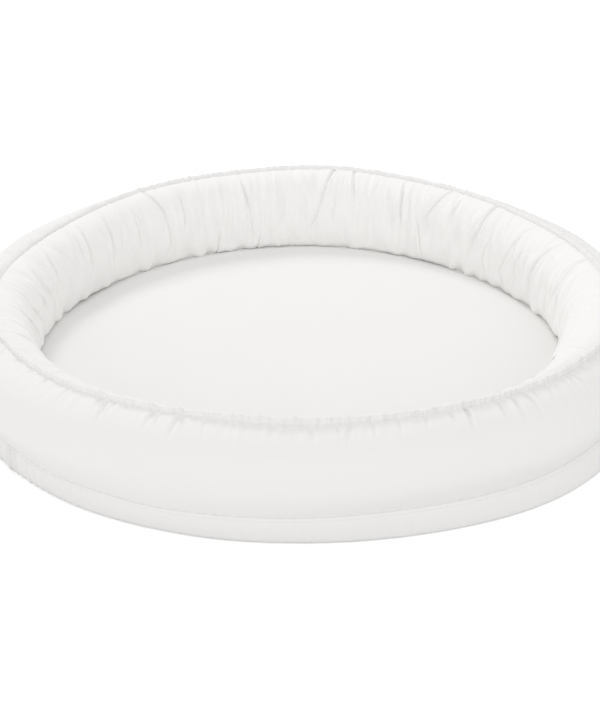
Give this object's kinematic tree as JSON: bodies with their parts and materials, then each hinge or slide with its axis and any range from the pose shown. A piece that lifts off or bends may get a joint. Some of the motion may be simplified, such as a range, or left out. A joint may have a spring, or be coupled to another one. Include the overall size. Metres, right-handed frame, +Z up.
{
  "type": "infant lounger",
  "caption": "Oval padded nest for a baby: a soft ruched ring bolster on a thin boxed cushion, with a zip in the band at the back.",
  "frame": {"origin": "on the floor under the middle of the lounger, on the underside of the base panel", "axes": "+Z up, +X to the right along the length, +Y to the back, where the zip is"},
  "size_m": [0.7998, 0.7047, 0.1226],
  "materials": {
    "cover_cloth": "fine plain-woven white cotton, matt",
    "liner_cloth": "thin non-woven lining, matt",
    "fibre_filling": "loose white polyester fibre",
    "foam": "open-cell foam, pale cream",
    "elastic": "woven white elastic",
    "zip_tape": "woven white tape",
    "zip_plastic": "white moulded plastic",
    "zip_metal": "white enamelled metal"
  },
  "bodies": {
    "nest": {"base_panel": "cover_cloth", "boxing_band": "cover_cloth", "outer_wall_panel": "cover_cloth", "inner_wall_panel": "cover_cloth", "top_casing": "cover_cloth", "zip_strip_upper": "cover_cloth", "zip_strip_lower": "cover_cloth", "sleeping_surface_panel": "cover_cloth", "mattress_core": "foam", "bolster_liner": "liner_cloth", "bolster_filling": "fibre_filling", "casing_elastic": "elastic", "zip_tape_upper": "zip_tape", "zip_tape_lower": "zip_tape", "zip_teeth_upper": "zip_plastic", "zip_teeth_lower": "zip_plastic", "zip_top_stop_upper": "zip_plastic", "zip_top_stop_lower": "zip_plastic", "zip_bottom_stop": "zip_plastic"},
    "zip_slider": {"zip_slider": "zip_metal"},
    "zip_pull": {"zip_pull": "zip_metal"}
  },
  "joints": [
    {"name": "zip_slider_run", "type": "hinge", "parent": "nest", "child": "zip_slider", "pos_m": [0, -0.05974, 0.015], "axis": [0, 0, 1], "range_deg": [0, 55.65], "deforming": ["zip_teeth_upper", "zip_teeth_lower"]},
    {"name": "zip_pull_turn", "type": "hinge", "parent": "zip_slider", "child": "zip_pull", "pos_m": [0.19195, 0.30344, 0.015], "axis": [0, 0, -1], "range_deg": [0, 170]}
  ]
}
